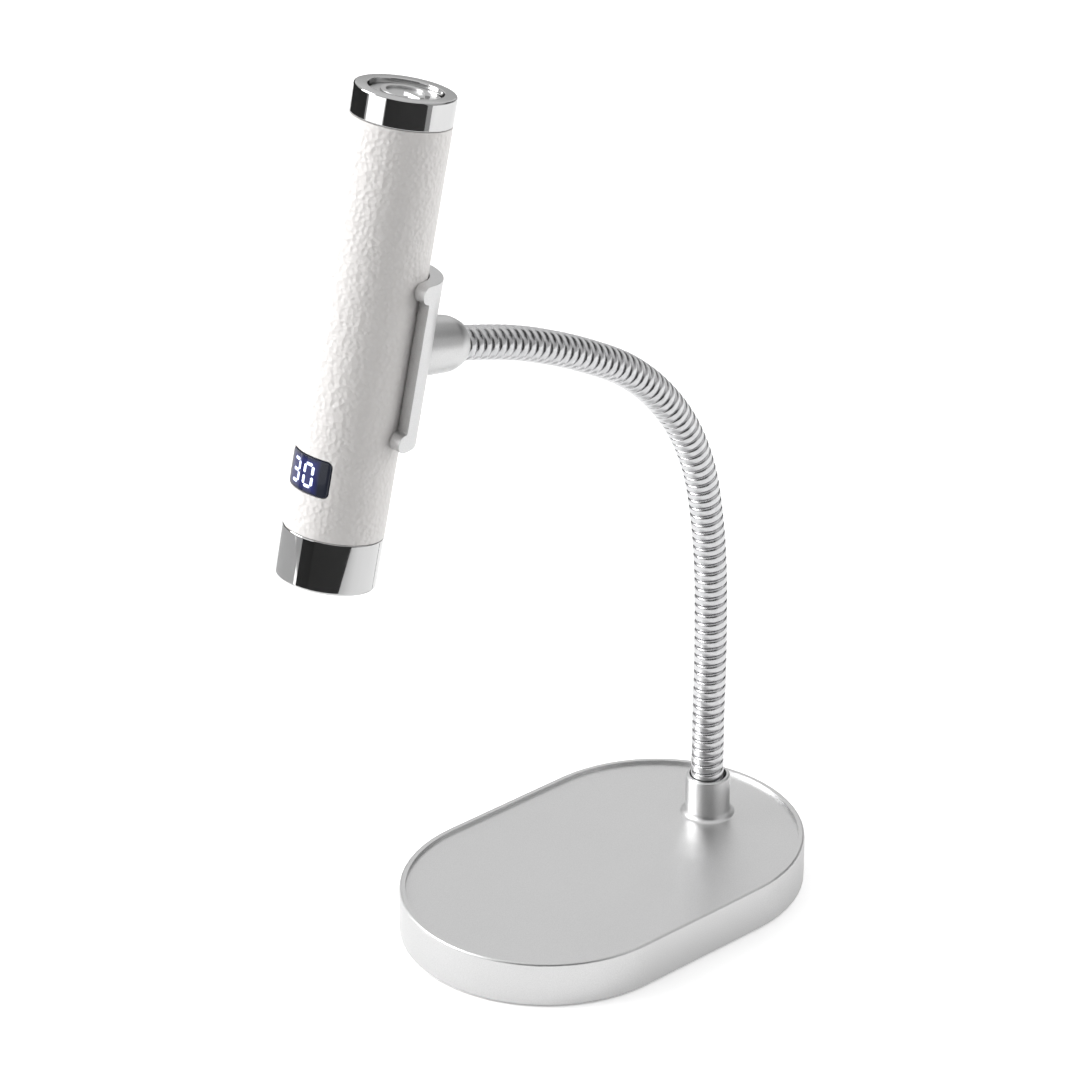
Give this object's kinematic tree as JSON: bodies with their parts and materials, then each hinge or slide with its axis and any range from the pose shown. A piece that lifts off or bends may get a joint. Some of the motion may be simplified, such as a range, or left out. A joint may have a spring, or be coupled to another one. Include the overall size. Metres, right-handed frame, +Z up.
{
  "type": "uv curing lamp",
  "caption": "Handheld UV curing torch held by a magnetic cradle on a flexible gooseneck with an oval weighted base.",
  "frame": {"origin": "middle of the base's underside, on the table", "axes": "+Z up; +X along the base towards the gooseneck's socket, so the torch hangs at -X; the lamp is symmetric about Y = 0"},
  "size_m": [0.1528, 0.0724, 0.2357],
  "materials": {
    "satin_silver": "satin silver paint on a zinc casting",
    "chrome": "polished chrome plating",
    "neck_steel": "polished nickel plated steel winding",
    "white_grain": "warm white coating with a fine leather grain",
    "window_black": "dark tinted glossy plastic",
    "display": "segment display with a blue glow",
    "clear": "clear optical plastic",
    "reflector": "metallised reflector",
    "led": "phosphor yellow LED package",
    "circuit": "green solder mask",
    "aluminium": "bare aluminium",
    "steel": "zinc plated steel",
    "magnet": "nickel plated magnet",
    "battery": "blue film sleeve on a steel can",
    "black_plastic": "black moulded plastic",
    "rubber": "black foam rubber",
    "brass": "turned brass"
  },
  "bodies": {
    "base": {"base_shell": "satin_silver", "weight_plate": "steel", "bottom_plate": "steel", "anti_slip_pad": "rubber", "base_screw_1": "steel", "base_screw_2": "steel", "base_screw_3": "steel", "base_screw_4": "steel", "neck_washer": "steel", "neck_nut": "steel", "neck_base_stud": "brass", "neck_link_01": "neck_steel"},
    "neck_02": {"neck_link_02": "neck_steel"},
    "neck_03": {"neck_link_03": "neck_steel"},
    "neck_04": {"neck_link_04": "neck_steel"},
    "neck_05": {"neck_link_05": "neck_steel"},
    "neck_06": {"neck_link_06": "neck_steel"},
    "neck_07": {"neck_link_07": "neck_steel"},
    "neck_08": {"neck_link_08": "neck_steel"},
    "neck_09": {"neck_link_09": "neck_steel"},
    "neck_10": {"neck_link_10": "neck_steel"},
    "neck_11": {"neck_link_11": "neck_steel"},
    "neck_12": {"neck_link_12": "neck_steel"},
    "holder": {"neck_link_13": "neck_steel", "neck_boss": "satin_silver", "neck_end_stud": "brass", "boss_grub_screw": "steel", "cradle": "satin_silver", "cradle_screw": "steel", "cradle_magnet_1": "magnet", "cradle_magnet_2": "magnet"},
    "torch": {"barrel": "white_grain", "steel_liner": "steel", "display_window": "window_black", "display_module": "display", "control_board": "circuit", "battery": "battery", "charge_board": "circuit", "charge_port": "aluminium", "head_cap": "chrome", "front_lens": "clear", "lens_seal": "rubber", "reflector": "reflector", "uv_led": "led", "led_board": "circuit", "heat_sink": "aluminium", "tail_cap": "chrome", "switch_board": "circuit", "tact_switch": "black_plastic"},
    "button": {"power_button": "chrome"}
  },
  "joints": [
    {"name": "neck_bend_1", "type": "hinge", "parent": "base", "child": "neck_02", "pos_m": [0.03525, 0, 0.0381], "axis": [0, 1, 0], "range_deg": [-4, 8]},
    {"name": "neck_bend_2", "type": "hinge", "parent": "neck_02", "child": "neck_03", "pos_m": [0.03552, 0, 0.05238], "axis": [0, 1, 0], "range_deg": [-4, 8]},
    {"name": "neck_side_1", "type": "hinge", "parent": "neck_03", "child": "neck_04", "pos_m": [0.03544, 0, 0.06666], "axis": [-0.9998, 0, -0.0213], "range_deg": [-7, 7]},
    {"name": "neck_bend_3", "type": "hinge", "parent": "neck_04", "child": "neck_05", "pos_m": [0.03499, 0, 0.08093], "axis": [0, 1, 0], "range_deg": [-4, 8]},
    {"name": "neck_bend_4", "type": "hinge", "parent": "neck_05", "child": "neck_06", "pos_m": [0.03346, 0, 0.09512], "axis": [0, 1, 0], "range_deg": [-4, 8]},
    {"name": "neck_side_2", "type": "hinge", "parent": "neck_06", "child": "neck_07", "pos_m": [0.03057, 0, 0.1091], "axis": [-0.9618, 0, -0.2738], "range_deg": [-7, 7]},
    {"name": "neck_bend_5", "type": "hinge", "parent": "neck_07", "child": "neck_08", "pos_m": [0.02494, 0, 0.12218], "axis": [0, 1, 0], "range_deg": [-4, 8]},
    {"name": "neck_bend_6", "type": "hinge", "parent": "neck_08", "child": "neck_09", "pos_m": [0.01657, 0, 0.13372], "axis": [0, 1, 0], "range_deg": [-4, 8]},
    {"name": "neck_side_3", "type": "hinge", "parent": "neck_09", "child": "neck_10", "pos_m": [0.00609, 0, 0.14338], "axis": [-0.5939, 0, -0.8046], "range_deg": [-7, 7]},
    {"name": "neck_bend_7", "type": "hinge", "parent": "neck_10", "child": "neck_11", "pos_m": [-0.00604, 0, 0.15088], "axis": [0, 1, 0], "range_deg": [-4, 8]},
    {"name": "neck_bend_8", "type": "hinge", "parent": "neck_11", "child": "neck_12", "pos_m": [-0.01877, 0, 0.15736], "axis": [0, 1, 0], "range_deg": [-4, 8]},
    {"name": "neck_side_4", "type": "hinge", "parent": "neck_12", "child": "holder", "pos_m": [-0.03198, 0, 0.16278], "axis": [-0.3453, 0, -0.9385], "range_deg": [-7, 7]},
    {"name": "torch_release", "type": "slide", "parent": "holder", "child": "torch", "axis": [-0.9741, 0, 0.2261], "range_m": [0, 0.06]},
    {"name": "button_press", "type": "slide", "parent": "torch", "child": "button", "axis": [-0.2261, 0, -0.9741], "range_m": [0, 0.0008], "stiffness_N_per_m": 300, "springref_m": -0.002}
  ]
}
